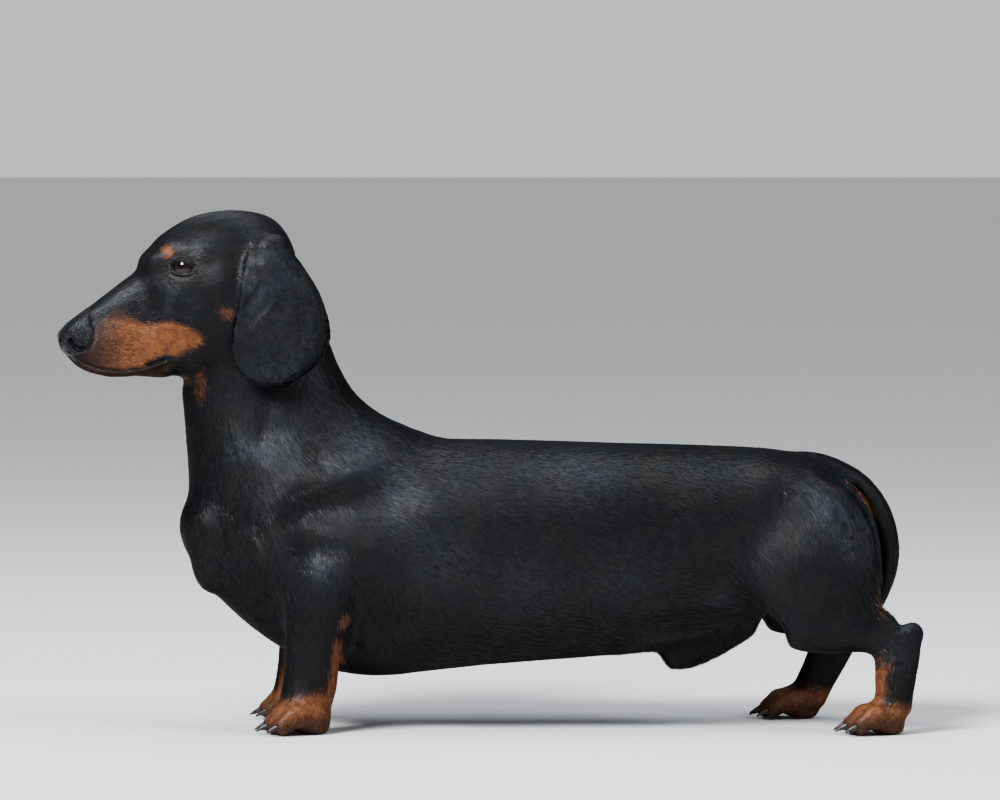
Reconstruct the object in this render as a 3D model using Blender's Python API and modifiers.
"""A smooth-haired dachshund standing still, life size, as closed solids.

Every size below is in millimetres and the functions scale it to metres. The dog
faces -X, its left side is at -Y, and its paws rest on the plane Z = 0. The body is
modelled whole: lofted masses for trunk, neck, head and limbs are fused, smoothed
and thinned, and thin cuts then part the one form into head, neck, legs and so on.
"""

import math

import bmesh
import bpy
import numpy as np
from mathutils import Matrix, Vector
from mathutils.bvhtree import BVHTree

MM = 0.001

# Driving sizes of the dog, in millimetres and degrees.
CHEST_HALF_WIDTH = 75.0
NECK_HALF_WIDTH = 66.0
HEAD_HALF_WIDTH = 46.0
HEAD_TURN = 14.0
HEAD_PIVOT = (-150.0, 0.0, 300.0)
FAR_FORELEG_STEP = -8.0
GAP = 0.3

# Eyes: the ball, where its centre lies in the unturned head, and the lid opening.
EYE_RADIUS = 9.8
EYE_CENTRE = (-229.0, 26.2, 336.5)
EYE_LOOKS = (-0.58, 0.80, 0.12)
LID_THICKNESS = 1.6
EYE_OPENING = (17.5, 11.0)
EYE_SLANT = 14.0

# Fineness of the fused form.
TRUNK_VOXEL = 3.2
BODY_VOXEL = 2.0
BODY_TRIANGLES = 8000
HEAD_WEIGHT = 0.5
PAW_WEIGHT = 0.9
WEIGHT_FACTOR = 0.002

# Half-widths of a section at 30, 60, 90, 120 and 150 degrees from its upper end.
ROUND = (0.50, 0.87, 1.00, 0.87, 0.50)
RIBS = (0.58, 0.91, 1.00, 0.90, 0.56)
KEEL = (0.54, 0.88, 1.00, 0.80, 0.46)
LOIN = (0.60, 0.92, 1.00, 0.88, 0.52)
NECK = (0.46, 0.82, 1.00, 0.92, 0.54)
BRIDGE = (0.55, 0.80, 0.94, 1.00, 0.90)
CHEEKS = (0.60, 0.92, 1.00, 0.88, 0.62)
SKULL = (0.58, 0.93, 1.00, 0.80, 0.48)

# Trunk: x, top, bottom, half-width as a share of the chest's, section.
TRUNK = (
    (-228, 155, 140, 0.20, KEEL),
    (-223, 167, 128, 0.35, KEEL),
    (-213, 180, 110, 0.50, KEEL),
    (-197, 190, 91, 0.64, KEEL),
    (-172, 197, 69, 0.78, KEEL),
    (-142, 202, 50, 0.88, KEEL),
    (-112, 206, 39.5, 0.94, KEEL),
    (-80, 209, 36.5, 0.98, KEEL),
    (-40, 211.5, 41, 1.00, RIBS),
    (0, 211.5, 45, 1.00, RIBS),
    (45, 210.5, 48.5, 0.97, RIBS),
    (90, 209, 52, 0.90, LOIN),
    (130, 208, 57, 0.83, LOIN),
    (165, 207, 65, 0.79, LOIN),
    (195, 205.5, 78, 0.77, LOIN),
    (222, 202, 96, 0.73, LOIN),
    (244, 195, 114, 0.64, LOIN),
    (260, 183, 130, 0.50, ROUND),
    (269, 168, 143, 0.30, ROUND),
)

# Neck: nape point, throat point (x, z each), half-width as a share of the neck's base.
NECK_RINGS = (
    (-150, 352, -218, 268, 0.54),
    (-134, 324, -227, 250, 0.58),
    (-122, 296, -225.5, 232, 0.61),
    (-112, 268, -224.5, 213, 0.66),
    (-99, 245, -223, 194, 0.74),
    (-79, 229, -222, 175, 0.84),
    (-56, 219, -219, 157, 0.93),
    (-34, 211, -206, 140, 1.00),
)

# Head: upper point, lower point (x, z each), half-width as a share, section.
HEAD_RINGS = (
    (-319.0, 288, -318.2, 282, 0.12, ROUND),
    (-316.5, 292, -315.5, 276, 0.26, ROUND),
    (-312.0, 297, -310.5, 271.5, 0.33, BRIDGE),
    (-304.0, 303, -302.0, 267.5, 0.365, BRIDGE),
    (-295.0, 309.5, -292.0, 264.5, 0.385, BRIDGE),
    (-283.0, 318.5, -279.0, 262.5, 0.42, BRIDGE),
    (-272.0, 327.0, -263.0, 261.5, 0.46, BRIDGE),
    (-262.0, 335.5, -248.0, 260.0, 0.53, BRIDGE),
    (-254.0, 345.0, -237.0, 258.5, 0.63, CHEEKS),
    (-246.0, 355.0, -228.0, 256.5, 0.73, CHEEKS),
    (-236.0, 365.0, -219.0, 254, 0.83, CHEEKS),
    (-221.0, 373.5, -208.0, 251, 0.93, SKULL),
    (-202.5, 377.8, -195.0, 249, 1.00, SKULL),
    (-183.0, 378.4, -183.0, 249, 0.98, SKULL),
    (-166.0, 374.5, -173.0, 251, 0.91, SKULL),
    (-152.0, 364.0, -167.0, 255, 0.80, SKULL),
    (-143.5, 348.0, -163.0, 262, 0.66, ROUND),
)

# Tail: x, z, radius along its hanging curve.
TAIL = (
    (205, 185, 16),
    (232, 188.5, 14.5),
    (254, 184, 12),
    (271, 173, 10.6),
    (283, 157, 9.6),
    (289.5, 138, 8.8),
    (290.5, 120, 7.8),
    (287, 103, 6.4),
    (281.5, 88, 4.6),
    (278, 80, 2.6),
)

# Hind legs: knee, hock and foot as x, z; the left leg stands further back.
HIND_LEFT = {"knee": (214, 70), "hock": (294, 68), "foot": (290, 16)}
HIND_RIGHT = {"knee": (203, 74), "hock": (263, 76), "foot": (234, 14)}

# Sheath under the belly: x, y, z and the radii of a limb.
SHEATH = (
    (196, 0, 74, 7, 7),
    (172, 0, 66, 12, 10),
    (148, 0, 57, 14, 12),
    (131, 0, 51, 12, 10),
    (125, 0, 49, 6, 6),
)

# Ear: height, front edge and rear edge in the unturned head, how far it swells out.
EAR_ROWS = (
    (356, -181.0, -160.0, 3.0),
    (350, -186.5, -155.0, 5.0),
    (341, -190.0, -148.0, 7.0),
    (331, -191.8, -141.5, 7.5),
    (321, -193.2, -135.5, 8.0),
    (310, -195.5, -130.5, 8.0),
    (299, -198.0, -127.0, 8.0),
    (288, -200.5, -125.6, 7.5),
    (278, -200.8, -128.2, 7.0),
    (269, -199.2, -133.5, 6.5),
    (261, -195.3, -140.8, 5.5),
    (254.5, -188.0, -151.0, 4.0),
    (250, -179.5, -160.5, 3.0),
)
EAR_THICKNESS = 4.2
EAR_RIM = 1.6
EAR_STANDS_OFF = 2.4
EAR_LEAN = 43.0
EAR_ROOT_DEPTH = 8.0
EAR_SPREAD = 6.0
EAR_RIDGE = 1.4

# Right upper lip: x, y, z and the radii of a limb, from under the nose to the corner.
LIP = (
    (-308.5, 2.5, 274.0, 3.0, 3.0),
    (-305.0, 6.0, 271.0, 4.6, 4.4),
    (-298.0, 9.6, 267.8, 6.2, 5.4),
    (-287.0, 12.8, 265.6, 7.4, 5.6),
    (-272.0, 15.6, 265.2, 7.6, 5.6),
    (-257.0, 19.0, 266.8, 6.8, 5.2),
    (-246.0, 20.6, 269.0, 4.6, 4.0),
    (-239.0, 22.0, 271.0, 2.5, 2.5),
)

# Lower jaw in the unturned head: upper point, lower point (x, z each), half-width.
JAW_RINGS = (
    (-301.5, 270.5, -300.5, 266.5, 5.0),
    (-298.5, 271.5, -296.5, 263.2, 8.5),
    (-289.0, 272, -287.0, 260.4, 12.0),
    (-272.0, 272, -269.0, 258.3, 14.5),
    (-256.0, 271, -252.0, 256.8, 18.5),
    (-245.0, 271, -241.0, 256.2, 20.5),
    (-239.0, 270, -236.0, 257.5, 20.5),
    (-236.5, 268, -234.0, 260.5, 17.5),
)

# Planes that bound the nose leather behind and below, in the unturned head.
NOSE_PLANES = (
    ((-298.5, 0, 296), (1, 0, 0.14)),
    ((-305.0, 0, 270.5), (0.35, 0, -1)),
)

COAT_BLACK = (0.012, 0.012, 0.014, 1.0)
COAT_TAN = (0.36, 0.13, 0.04, 1.0)
NOSE_BLACK = (0.02, 0.02, 0.025, 1.0)
EYE_BROWN = (0.045, 0.018, 0.008, 1.0)

# Strokes on the fused form: centre, reach, how far the surface moves outward.
# Head strokes are set in the unturned head and made on both its sides.
HEAD_STROKES = (
    ((-256.5, 18.0, 344.5), 8.5, 4.2),
    ((-247.0, 17.0, 358.0), 11.0, 3.0),
    ((-236.0, 25.0, 352.0), 9.0, 1.8),
    ((-249.0, 24.0, 331.0), 9.0, -1.6),
    ((-262.0, 0.0, 336.0), 9.0, -1.2),
    ((-246.0, 0.0, 358.0), 9.0, -1.2),
    ((-232.0, 33.0, 321.0), 11.0, 1.6),
    ((-205.0, 44.0, 322.0), 15.0, 2.0),
    ((-248.0, 26.0, 306.0), 13.0, -1.6),
    ((-203.0, 40.0, 348.0), 15.0, -1.6),
    ((-200.0, 42.0, 292.0), 18.0, 2.4),
    ((-228.0, 32.0, 288.0), 12.0, -1.4),
    ((-282.0, 20.0, 284.0), 11.0, 1.4),
    ((-268.0, 22.0, 268.0), 10.0, 1.6),
    ((-286.0, 18.0, 264.0), 9.0, 1.2),
    ((-245.0, 25.0, 266.0), 8.0, -1.2),
    ((-294.0, 15.0, 303.0), 6.0, -1.0),
    ((-158.0, 0.0, 372.0), 10.0, 1.2),
)
BODY_STROKES = (
    ((-218.0, 18.0, 142.0), 17.0, 1.6),
    ((-190.0, 44.0, 146.0), 13.0, -3.0),
    ((-163.0, 62.0, 144.0), 20.0, 4.5),
    ((-178.0, 50.0, 178.0), 22.0, -3.0),
    ((-130.0, 62.0, 132.0), 12.0, -3.0),
    ((-138.0, 66.0, 108.0), 20.0, 3.0),
    ((-112.0, 67.0, 98.0), 14.0, 3.0),
    ((-88.0, 56.0, 192.0), 26.0, 2.0),
    ((-75.0, 66.0, 160.0), 22.0, -1.6),
    ((-88.0, 62.0, 80.0), 16.0, -3.5),
    ((160.0, 58.0, 172.0), 24.0, 1.5),
    ((168.0, 58.0, 118.0), 22.0, -2.5),
    ((200.0, 46.0, 190.0), 16.0, 2.5),
    ((238.0, 64.0, 128.0), 24.0, 2.0),
    ((222.0, 68.0, 72.0), 16.0, 1.5),
)


def scaled(point):
    return Vector(point) * MM


def mirrored(point):
    return (point[0], -point[1], point[2])


def curve_value(before, start, end, after, share):
    """One Catmull-Rom value between start and end."""
    return 0.5 * (
        2 * start
        + (end - before) * share
        + (2 * before - 5 * start + 4 * end - after) * share**2
        + (3 * start - before - 3 * end + after) * share**3
    )


def filled_in(rows, steps):
    """The rows with steps - 1 rows of a smooth curve added between each pair."""
    rows = [list(row) for row in rows]
    out = []
    for i in range(len(rows) - 1):
        around = [rows[max(i - 1, 0)], rows[i], rows[i + 1], rows[min(i + 2, len(rows) - 1)]]
        for step in range(steps):
            out.append([curve_value(*four, step / steps) for four in zip(*around)])
    out.append(rows[-1])
    return out


def section_width(shares, angle):
    """Half-width share of a section at an angle from 0 at its upper end to 180."""
    known = (-shares[0], 0.0, *shares, 0.0, -shares[-1])
    place = angle / 30.0
    i = min(int(place), 5)
    return curve_value(*known[i : i + 4], place - i)


def object_from(bm, name):
    """A linked object that takes over the bmesh."""
    bm.normal_update()
    bmesh.ops.recalc_face_normals(bm, faces=bm.faces)
    mesh = bpy.data.meshes.new(name)
    bm.to_mesh(mesh)
    bm.free()
    made = bpy.data.objects.new(name, mesh)
    bpy.context.scene.collection.objects.link(made)
    return made


def tube(name, rings):
    """A closed tube through rings of points, with flat ends."""
    bm = bmesh.new()
    loops = [[bm.verts.new(scaled(point)) for point in ring] for ring in rings]
    count = len(loops[0])
    for low, high in zip(loops, loops[1:]):
        for i in range(count):
            j = (i + 1) % count
            bm.faces.new((low[i], low[j], high[j], high[i]))
    bm.faces.new(loops[0])
    bm.faces.new(loops[-1])
    return object_from(bm, name)


def profile_tube(name, rows, steps=3, half_sides=16):
    """A loft between sections given as upper x, z, lower x, z, half-width, five shares."""
    rings = []
    for ux, uz, lx, lz, width, *shares in filled_in(rows, steps):
        side = []
        for i in range(half_sides + 1):
            angle = 180.0 * i / half_sides
            down = (1 - math.cos(math.radians(angle))) / 2
            y = width * section_width(shares, angle)
            side.append((ux + (lx - ux) * down, y, uz + (lz - uz) * down))
        rings.append(side + [(x, -y, z) for x, y, z in side[-2:0:-1]])
    return tube(name, rings)


def limb(name, rows, steps=3, sides=20):
    """A loft along a bent line: x, y, z, radius in the side view, radius across."""
    rows = filled_in(rows, steps)
    rings = []
    for i, (x, y, z, deep, wide) in enumerate(rows):
        ahead = Vector(rows[min(i + 1, len(rows) - 1)][:3])
        behind = Vector(rows[max(i - 1, 0)][:3])
        along = (ahead - behind).normalized()
        across = (Vector((0, 1, 0)) - along * along.y).normalized()
        over = along.cross(across)
        ring = []
        for k in range(sides):
            angle = 2 * math.pi * k / sides
            ring.append(
                Vector((x, y, z)) + over * deep * math.cos(angle) + across * wide * math.sin(angle)
            )
        rings.append(ring)
    return tube(name, rings)


def blob(name, centre, radii, tilt=0.0, turn=0.0, segments=16):
    """An ellipsoid. Tilt raises its rear end, turn swings it about the vertical."""
    bm = bmesh.new()
    bmesh.ops.create_uvsphere(bm, u_segments=segments, v_segments=segments * 2 // 3, radius=1.0)
    stretch = Matrix.Diagonal((*[r * MM for r in radii], 1.0))
    spin = Matrix.Rotation(math.radians(turn), 4, "Z") @ Matrix.Rotation(math.radians(-tilt), 4, "Y")
    bm.transform(Matrix.Translation(scaled(centre)) @ spin @ stretch)
    return object_from(bm, name)


def mirrored_blobs(name, centre, radii, tilt=0.0, turn=0.0):
    return [
        blob(name + "_left", mirrored(centre), radii, tilt, -turn),
        blob(name + "_right", centre, radii, tilt, turn),
    ]


def head_matrix():
    """The turn of the head on the neck, about a vertical line behind the jaw."""
    pivot = Matrix.Translation(scaled(HEAD_PIVOT))
    return pivot @ Matrix.Rotation(math.radians(HEAD_TURN), 4, "Z") @ pivot.inverted()


def turned(pieces):
    for piece in pieces:
        piece.data.transform(head_matrix())
    return pieces


def remove(pieces):
    for piece in pieces:
        bpy.data.objects.remove(piece)


def baked(piece):
    """Replaces the object's mesh with the one its modifiers make."""
    graph = bpy.context.evaluated_depsgraph_get()
    mesh = bpy.data.meshes.new_from_object(piece.evaluated_get(graph))
    piece.modifiers.clear()
    piece.data = mesh
    return piece


def copied(piece, name):
    made = bpy.data.objects.new(name, piece.data.copy())
    bpy.context.scene.collection.objects.link(made)
    return made


def joined(name, pieces):
    bm = bmesh.new()
    for piece in pieces:
        bm.from_mesh(piece.data)
    remove(pieces)
    mesh = bpy.data.meshes.new(name)
    bm.to_mesh(mesh)
    bm.free()
    made = bpy.data.objects.new(name, mesh)
    bpy.context.scene.collection.objects.link(made)
    return made


def fused(name, pieces, voxel, rounds):
    """One closed surface round all the pieces, its creases filled by smoothing."""
    whole = joined(name, pieces)
    remesh = whole.modifiers.new("remesh", "REMESH")
    remesh.mode = "VOXEL"
    remesh.voxel_size = voxel * MM
    soften = whole.modifiers.new("soften", "SMOOTH")
    soften.factor = 0.5
    soften.iterations = rounds
    return baked(whole)


def boolean(piece, other, operation):
    """Applies one exact Boolean of the piece with a closed tool."""
    step = piece.modifiers.new("cut", "BOOLEAN")
    step.operation = operation
    step.solver = "EXACT"
    step.object = other
    return baked(piece)


def shells_of(bm):
    left = set(bm.verts)
    shells = []
    while left:
        stack = [left.pop()]
        shell = set(stack)
        while stack:
            for edge in stack.pop().link_edges:
                for vert in edge.verts:
                    if vert not in shell:
                        shell.add(vert)
                        stack.append(vert)
        left -= shell
        shells.append(shell)
    return shells


def largest_shell(piece):
    """Keeps only the shell with the most corners."""
    bm = bmesh.new()
    bm.from_mesh(piece.data)
    keep = max(shells_of(bm), key=len)
    bmesh.ops.delete(bm, geom=[v for v in bm.verts if v not in keep], context="VERTS")
    bm.to_mesh(piece.data)
    bm.free()
    return piece


def points_of(mesh):
    flat = np.empty(len(mesh.vertices) * 3)
    mesh.vertices.foreach_get("co", flat)
    return flat.reshape(-1, 3)


def normals_of(mesh):
    flat = np.empty(len(mesh.vertices) * 3)
    mesh.vertices.foreach_get("normal", flat)
    return flat.reshape(-1, 3)


def put_points(mesh, points):
    mesh.vertices.foreach_set("co", points.ravel())
    mesh.update()


def stroked(piece, strokes, place=None):
    """Moves the surface along its normals inside a soft round of each stroke."""
    points = points_of(piece.data)
    normals = normals_of(piece.data)
    shift = np.zeros(len(points))
    for centre, reach, amount in strokes:
        spots = {centre, mirrored(centre)}
        for spot in spots:
            middle = scaled(spot)
            if place is not None:
                middle = place @ middle
            far = ((points - np.array(middle)) ** 2).sum(axis=1) / (reach * MM) ** 2
            shift += amount * MM * np.exp(-far)
    put_points(piece.data, points + normals * shift[:, None])
    return piece


def grown(piece, amount):
    """A copy whose surface stands out by the amount, in millimetres."""
    made = copied(piece, piece.name + "_grown")
    mesh = made.data
    put_points(mesh, points_of(mesh) + normals_of(mesh) * amount * MM)
    return made


def trunk_masses():
    """Trunk, neck, shoulders and haunches, before they are fused."""
    trunk = [(x, top, x, low, share * CHEST_HALF_WIDTH, *shape) for x, top, low, share, shape in TRUNK]
    neck = [(*row[:4], row[4] * NECK_HALF_WIDTH, *NECK) for row in NECK_RINGS]
    pieces = [profile_tube("trunk", trunk), profile_tube("neck", neck)]
    pieces += mirrored_blobs("shoulder_blade", (-112, 38, 162), (50, 19, 30), tilt=36, turn=7)
    pieces += mirrored_blobs("upper_arm", (-140, 54, 118), (38, 17, 24), tilt=-32)
    pieces += mirrored_blobs("triceps", (-116, 57, 116), (26, 13, 30))
    pieces += mirrored_blobs("breast", (-197, 21, 134), (22, 22, 38), tilt=-14)
    pieces.append(blob("breastbone", (-210, 0, 144), (17, 20, 26)))
    for side, step in ((-1, 0.0), (1, FAR_FORELEG_STEP)):
        pieces.append(limb("upper_foreleg", upper_foreleg_rows(side, step)))
    for side, leg in ((-1, HIND_LEFT), (1, HIND_RIGHT)):
        pieces += haunch(side, leg)
    pieces.append(limb("sheath", SHEATH))
    return pieces


def upper_foreleg_rows(side, step):
    return [
        (-126 + step / 2, side * 52, 122, 28, 16),
        (-122 + step / 2, side * 55, 102, 27, 17),
        (-126 + step, side * 54, 82, 24.5, 17),
        (-129 + step, side * 52, 64, 22.5, 16),
        (-130 + step, side * 51, 50, 21.5, 15),
    ]


def haunch(side, leg):
    """Thigh and lower leg down to the hock."""
    knee_x, knee_z = leg["knee"]
    hock_x, hock_z = leg["hock"]
    thigh = [
        (230, side * 32, 180, 34, 15),
        (230, side * 41, 158, 48, 18),
        (231, side * 46, 136, 53, 20),
        (knee_x + 16, side * 50, 110, 53, 20),
        (knee_x + 14, side * 52, 90, 46, 17),
        (knee_x + 6, side * 52, 74, 30, 13),
    ]
    span = hock_x - knee_x
    shank = [
        (knee_x - 2, side * 52, knee_z + 4, 14, 12),
        (knee_x + 0.18 * span, side * 53, knee_z + 5, 18, 14),
        (knee_x + 0.45 * span, side * 54, knee_z + 7, 20, 13),
        (knee_x + 0.75 * span, side * 54.5, knee_z + 6, 19, 11),
        (hock_x - 6, side * 55, hock_z + 2, 18, 10),
    ]
    return [limb("thigh", thigh), limb("shank", shank)]


def lower_foreleg(side, step):
    rows = [
        (-128 + step, side * 53, 70, 21, 15),
        (-130 + step, side * 51, 54, 21, 14.5),
        (-131 + step, side * 50, 40, 20.5, 14.5),
        (-133 + step, side * 50.5, 28, 20, 15.5),
        (-137 + step, side * 51.5, 17, 18.5, 16.5),
    ]
    return [limb("lower_foreleg", rows), blob("elbow", (-106 + step / 2, side * 60, 90), (11, 8, 12))]


def rear_pastern(side, leg):
    """Hock point down to the hind paw."""
    hock_x, hock_z = leg["hock"]
    foot_x, foot_z = leg["foot"]
    rows = [(hock_x - 1, side * 56, hock_z + 6, 15, 9)]
    for share, deep, wide in ((0.15, 18, 10), (0.45, 16.5, 10), (0.75, 14.5, 10.5), (1.0, 14.5, 13)):
        x = hock_x + (foot_x - hock_x) * share
        rows.append((x, side * 56, hock_z + (foot_z - hock_z) * share, deep, wide))
    heel = blob("heel_bone", (hock_x + 9, side * 56, hock_z + 3), (11, 7.5, 13), tilt=-20)
    return [limb("rear_pastern", rows), heel]


def paw(name, x, y, turn, length, width):
    """Four arched toes with claws, the pad under them and the knuckles over them."""
    toes = ((-0.36, -0.02), (-0.125, 0.11), (0.125, 0.11), (0.36, -0.02))
    pieces = [
        blob(name + "_palm", (0, 0, 13), (0.40 * length, 0.40 * width, 13)),
        blob(name + "_pad", (0.10 * length, 0, 5), (0.28 * length, 0.34 * width, 7)),
    ]
    for i, (across, forward) in enumerate(toes):
        side_y = across * width
        spread = -across * 22
        front = -(0.24 + forward) * length
        knuckle = (0.25 * length, 0.155 * width, 9.5)
        tip = (0.15 * length, 0.14 * width, 7.6)
        pieces.append(blob(f"{name}_knuckle{i}", (front + 2, side_y, 13.5), knuckle, 14, spread))
        pieces.append(blob(f"{name}_tip{i}", (front - 8, side_y * 1.06, 7.2), tip, 0, spread))
        pieces.append(blob(f"{name}_claw{i}", (front - 15, side_y * 1.1, 5.4), (7, 2.2, 2.8), 24, spread))
    place = Matrix.Translation(scaled((x, y, 0))) @ Matrix.Rotation(math.radians(turn), 4, "Z")
    for piece in pieces:
        piece.data.transform(place)
    return pieces


def head_masses():
    rows = [(*row[:4], row[4] * HEAD_HALF_WIDTH, *row[5]) for row in HEAD_RINGS]
    pieces = [profile_tube("skull", rows)]
    pieces += mirrored_blobs("nose_wing", (-306, 7.5, 287.5), (11, 7.5, 9.5), tilt=30, turn=-10)
    pieces += [limb("lip", LIP), limb("lip", [(x, -y, *rest) for x, y, *rest in LIP])]
    pieces += mirrored_blobs("ear_base", (-171, 38, 350), (17, 10, 11), tilt=24)
    return turned(pieces)


def whole_body():
    """The one smooth form of the dog without tail, ears and eyes."""
    trunk = stroked(fused("trunk_form", trunk_masses(), TRUNK_VOXEL, 16), BODY_STROKES)
    pieces = [trunk, *head_masses()]
    for side, step in ((-1, 0.0), (1, FAR_FORELEG_STEP)):
        pieces += lower_foreleg(side, step)
        pieces += paw("forepaw", -134 + step, side * 53.5, side * -8, 48, 43)
    for side, leg in ((-1, HIND_LEFT), (1, HIND_RIGHT)):
        pieces += rear_pastern(side, leg)
        pieces += paw("hindpaw", leg["foot"][0] - 7, side * 56.5, side * -4, 44, 38)
    whole = largest_shell(fused("body", pieces, BODY_VOXEL, 6))
    return stroked(whole, HEAD_STROKES, head_matrix())


def thinned(piece, triangles):
    """Fewer triangles, with the head and the paws kept finer than the trunk."""
    group = piece.vertex_groups.new(name="thin_here")
    for vert in piece.data.vertices:
        x, y, z = vert.co / MM
        in_head = x < -150 and z > 0.8 * (x + 185) + 300
        weight = HEAD_WEIGHT if in_head else PAW_WEIGHT if z < 30 else 1.0
        group.add([vert.index], weight, "REPLACE")
    count = sum(len(face.vertices) - 2 for face in piece.data.polygons)
    step = piece.modifiers.new("thin", "DECIMATE")
    step.ratio = triangles / count
    step.use_collapse_triangulate = True
    step.vertex_group = group.name
    step.vertex_group_factor = WEIGHT_FACTOR
    baked(piece)
    piece.vertex_groups.clear()
    return piece


def cell(name, planes, grow=0.0):
    """A convex block inside planes given as a point and an outward direction."""
    bm = bmesh.new()
    bmesh.ops.create_cube(bm, size=1600 * MM)
    for point, direction in planes:
        out = Vector(direction).normalized()
        at = scaled(point) + out * grow * MM
        made = bmesh.ops.bisect_plane(
            bm, geom=[*bm.verts, *bm.edges, *bm.faces], plane_co=at, plane_no=out, clear_outer=True
        )
        rim = [item for item in made["geom_cut"] if isinstance(item, bmesh.types.BMEdge)]
        if rim:
            bmesh.ops.contextual_create(bm, geom=rim)
    return object_from(bm, name)


def parted(rest, name, planes):
    """Takes the part inside the planes off the rest, with the gap between them."""
    inner = cell(name + "_cell", planes)
    outer = cell(name + "_cell_outer", planes, GAP)
    part = boolean(copied(rest, name), inner, "INTERSECT")
    boolean(rest, outer, "DIFFERENCE")
    remove([inner, outer])
    largest_shell(rest)
    return largest_shell(part)


def flipped(planes):
    return [(mirrored(point), mirrored(direction)) for point, direction in planes]


def turned_planes(planes):
    turn = head_matrix()
    spin = turn.to_3x3()
    return [((turn @ scaled(point)) / MM, spin @ Vector(direction)) for point, direction in planes]


def side_of_body(tree, point, side):
    """How far out the body reaches, level with a point beside it, in millimetres."""
    start = Vector((point.x, side * 0.3, point.z))
    hit = tree.ray_cast(start, Vector((0, -side, 0)))[0]
    return 0.0 if hit is None else side * hit.y / MM


def ear_station(tree, side, row, drop, across):
    """Outer and inner point of the ear, pushed out where it would touch the body."""
    height, front, rear, swell = row
    x = (front + rear) / 2 + across * (rear - front) / 2
    sunk = EAR_ROOT_DEPTH * (1 - min(drop / 0.16, 1.0)) ** 2
    lean = EAR_LEAN - sunk + EAR_SPREAD * math.sin(math.pi * min(drop * 0.9, 1.0))
    ridge = EAR_RIDGE * math.exp(-(((across + 0.35) / 0.22) ** 2)) * math.sin(math.pi * drop)
    thin = min(abs(across) ** 4 + drop**8, 1.0)
    half = (EAR_RIM + (EAR_THICKNESS - EAR_RIM) * (1 - thin)) / 2
    middle = lean + swell * (1 - across**2) + ridge
    inner = head_matrix() @ scaled((x, side * (middle - half), height))
    outer = head_matrix() @ scaled((x, side * (middle + half), height))
    hangs_free = min(max((drop - 0.12) / 0.2, 0.0), 1.0)
    clear = side_of_body(tree, inner, side) + EAR_STANDS_OFF
    push = max(clear - side * inner.y / MM, 0.0) * hangs_free
    shift = Vector((0, side * push * MM, 0))
    return outer + shift, inner + shift


def ear(name, side, tree):
    """A hanging leaf, swelling outward and hollow on its inner face."""
    steps = 10
    bm = bmesh.new()
    outer, inner = [], []
    for i, row in enumerate(EAR_ROWS):
        drop = i / (len(EAR_ROWS) - 1)
        pairs = [ear_station(tree, side, row, drop, 2 * k / steps - 1) for k in range(steps + 1)]
        outer.append([bm.verts.new(pair[0]) for pair in pairs])
        inner.append([bm.verts.new(pair[1]) for pair in pairs])
    rims = []
    for grid in (outer, inner):
        for low, high in zip(grid, grid[1:]):
            for k in range(steps):
                bm.faces.new((low[k], low[k + 1], high[k + 1], high[k]))
        rear = [row[-1] for row in grid[1:]]
        front = [row[0] for row in grid[-2:0:-1]]
        rims.append(grid[0] + rear + grid[-1][-2::-1] + front)
    for i in range(len(rims[0])):
        j = (i + 1) % len(rims[0])
        bm.faces.new((rims[0][i], rims[0][j], rims[1][j], rims[1][i]))
    bmesh.ops.triangulate(bm, faces=bm.faces)
    return object_from(bm, name)


def eye_frame(side):
    """Where the eye sits and which way it looks, as one matrix in the turned head."""
    centre = EYE_CENTRE if side > 0 else mirrored(EYE_CENTRE)
    looks = EYE_LOOKS if side > 0 else mirrored(EYE_LOOKS)
    out = Vector(looks).normalized()
    forward = (Vector((-1, 0, 0)) - out * -out.x).normalized()
    up = out.cross(forward) * -side
    tip = Matrix.Rotation(math.radians(EYE_SLANT * side), 3, out)
    basis = Matrix((tip @ forward, tip @ up, out)).transposed().to_4x4()
    return head_matrix() @ Matrix.Translation(scaled(centre)) @ basis


def eyelid_opening(name, side):
    """An almond prism along the line of sight."""
    width, height = EYE_OPENING
    bm = bmesh.new()
    loops = []
    for depth in (2.0, 2.2 * EYE_RADIUS):
        ring = []
        for k in range(20):
            angle = 2 * math.pi * k / 20
            x = math.cos(angle)
            y = math.sin(angle) * (0.72 + 0.28 * math.sin(angle) ** 2)
            ring.append(bm.verts.new(scaled((x * width / 2, y * height / 2, depth))))
        loops.append(ring)
    for k in range(20):
        j = (k + 1) % 20
        bm.faces.new((loops[0][k], loops[0][j], loops[1][j], loops[1][k]))
    bm.faces.new(loops[0])
    bm.faces.new(loops[1])
    bm.transform(eye_frame(side))
    return object_from(bm, name)


def ball(name, matrix, radius, segments=16):
    bm = bmesh.new()
    bmesh.ops.create_uvsphere(bm, u_segments=segments, v_segments=segments * 2 // 3, radius=radius * MM)
    bmesh.ops.triangulate(bm, faces=bm.faces)
    bm.transform(matrix)
    return object_from(bm, name)


def eyes_set(head):
    """Lids fused to the head, sockets and openings cut, and the two eyeballs."""
    eyes = []
    for side, name in ((-1, "eye_left"), (1, "eye_right")):
        frame = eye_frame(side)
        lid = ball("lid", frame, EYE_RADIUS + LID_THICKNESS)
        boolean(head, lid, "UNION")
        socket = ball("socket", frame, EYE_RADIUS + GAP)
        boolean(head, socket, "DIFFERENCE")
        opening = eyelid_opening("opening", side)
        boolean(head, opening, "DIFFERENCE")
        remove([lid, socket, opening])
        eyes.append(ball(name, frame, EYE_RADIUS))
    largest_shell(head)
    return eyes


def jaw_set(head):
    """The lower jaw, and the bed for it between the lips."""
    rows = [(*row[:4], row[4], *ROUND) for row in JAW_RINGS]
    jaw = turned([profile_tube("lower_jaw", rows, steps=1, half_sides=8)])[0]
    bed = grown(jaw, GAP)
    boolean(head, bed, "DIFFERENCE")
    remove([bed])
    return jaw


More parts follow.
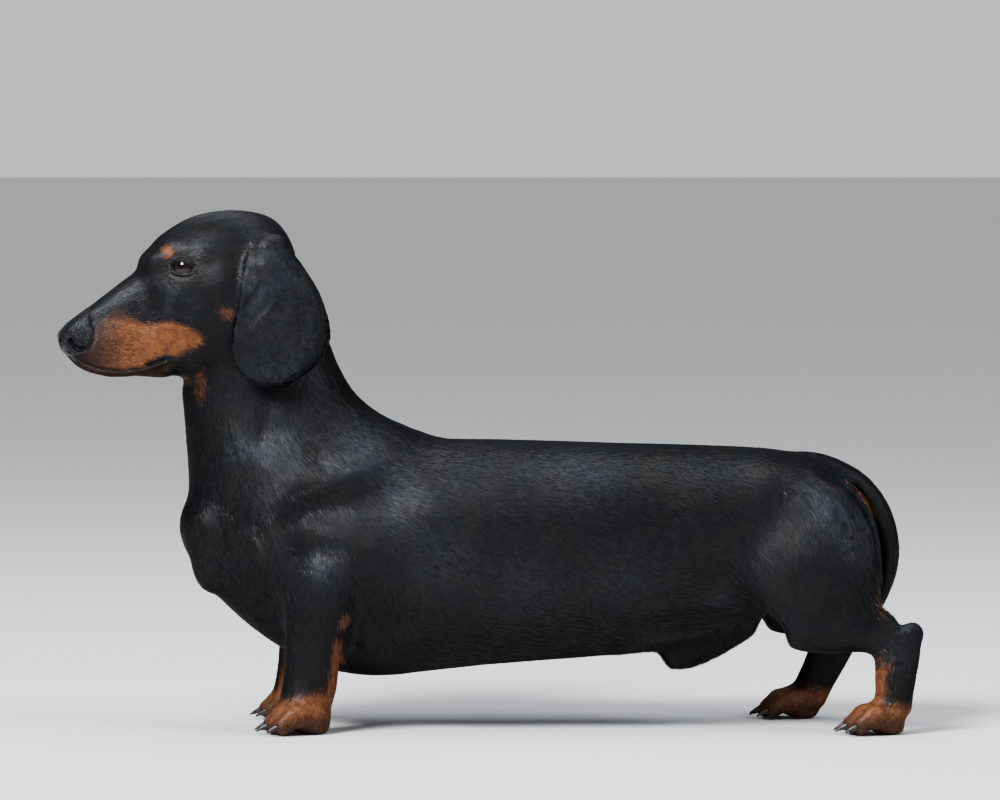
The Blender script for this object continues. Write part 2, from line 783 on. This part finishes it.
def nostrils_cut(nose):
    for side in (-1, 1):
        hole = blob("nostril", (-314.5, side * 6.0, 283.5), (5.5, 2.6, 3.6), tilt=0, turn=side * 38)
        slit = blob("nostril_slit", (-307.5, side * 11.8, 281.2), (6.0, 2.4, 1.6), tilt=10, turn=side * 12)
        turned([hole, slit])
        boolean(nose, hole, "DIFFERENCE")
        boolean(nose, slit, "DIFFERENCE")
        remove([hole, slit])
    return largest_shell(nose)


def paint(piece, colour, roughness):
    material = bpy.data.materials.new(piece.name + "_finish")
    material.use_nodes = True
    shader = material.node_tree.nodes["Principled BSDF"]
    shader.inputs["Base Color"].default_value = colour
    shader.inputs["Roughness"].default_value = roughness
    shader.inputs["Metallic"].default_value = 0.0
    piece.data.materials.clear()
    piece.data.materials.append(material)


def foreleg_planes(step):
    """The foreleg from the elbow down, on the right side."""
    return [
        ((-178 + step, 0, 0), (-1, 0, 0)),
        ((-86 + step, 0, 0), (1, 0, 0.12)),
        ((-130 + step, 38, 58), (0.04, -1, 0.62)),
        ((-130 + step, 60, 101), (0.25, 0, 1)),
    ]


def thigh_planes():
    return [
        ((230, 30, 150), (0, -1, 0.16)),
        ((230, 40, 178), (-0.30, 0, 1)),
        ((176, 40, 110), (-1, 0, 0.30)),
    ]


def make_nodes():
    body = thinned(whole_body(), BODY_TRIANGLES)
    floor = cell("ground", [((0, 0, 0), (0, 0, 1))])
    boolean(body, floor, "DIFFERENCE")
    remove([floor])
    tail = limb("tail", [(x, 0, z, r, r) for x, z, r in TAIL], 2, 16)
    tail_room = limb("tail_room", [(x, 0, z, r + GAP, r + GAP) for x, z, r in TAIL], 2, 16)
    nodes = [tail]
    boolean(body, tail_room, "DIFFERENCE")
    remove([tail_room])
    for side, word, step, leg in (
        (-1, "left", 0.0, HIND_LEFT),
        (1, "right", FAR_FORELEG_STEP, HIND_RIGHT),
    ):
        foreleg = foreleg_planes(step)
        thigh = thigh_planes()
        front_paw = [((-137 + step, 50, 29), (0.18, 0, 1))]
        shin = [((leg["knee"][0] + 20, 52, leg["knee"][1] + 15), (-0.12, 0, 1))]
        hind_paw = [((leg["foot"][0], 56, 28), (0.15, 0, 1))]
        if side < 0:
            foreleg, thigh = flipped(foreleg), flipped(thigh)
        foreleg = parted(body, "foreleg_" + word, foreleg)
        thigh = parted(body, "thigh_" + word, thigh)
        nodes.append(parted(foreleg, "forepaw_" + word, front_paw))
        shin = parted(thigh, "lower_hind_leg_" + word, shin)
        nodes.append(parted(shin, "hind_paw_" + word, hind_paw))
        nodes += [foreleg, thigh, shin]
    tree = BVHTree.FromObject(body, bpy.context.evaluated_depsgraph_get())
    head = parted(body, "head", [((-185, 0, 300), (1.0, 0, -0.80))])
    neck = parted(body, "neck", [((-140, 0, 190), (0.60, 0, -1))])
    chest = parted(body, "chest", [((30, 0, 120), (1, 0, 0))])
    belly = parted(body, "belly", [((185, 0, 130), (1, 0, 0.30))])
    body.name = "rump"
    nodes += [neck, chest, belly, body]
    nose = parted(head, "nose", turned_planes(NOSE_PLANES))
    nodes.append(nostrils_cut(nose))
    nodes.append(jaw_set(head))
    nodes += eyes_set(head)
    for side, word in ((-1, "left"), (1, "right")):
        made = ear("ear_" + word, side, tree)
        room = grown(made, GAP)
        boolean(head, room, "DIFFERENCE")
        remove([room])
        nodes.append(made)
    largest_shell(head)
    nodes.append(head)
    return nodes


def main():
    for old in list(bpy.data.objects):
        bpy.data.objects.remove(old)
    home = bpy.data.collections.new("dachshund")
    bpy.context.scene.collection.children.link(home)
    for node in make_nodes():
        bpy.context.scene.collection.objects.unlink(node)
        home.objects.link(node)
        if node.name.startswith("eye"):
            paint(node, EYE_BROWN, 0.08)
        elif node.name == "nose":
            paint(node, NOSE_BLACK, 0.35)
        elif "paw" in node.name:
            paint(node, COAT_TAN, 0.6)
        else:
            paint(node, COAT_BLACK, 0.45)


main()
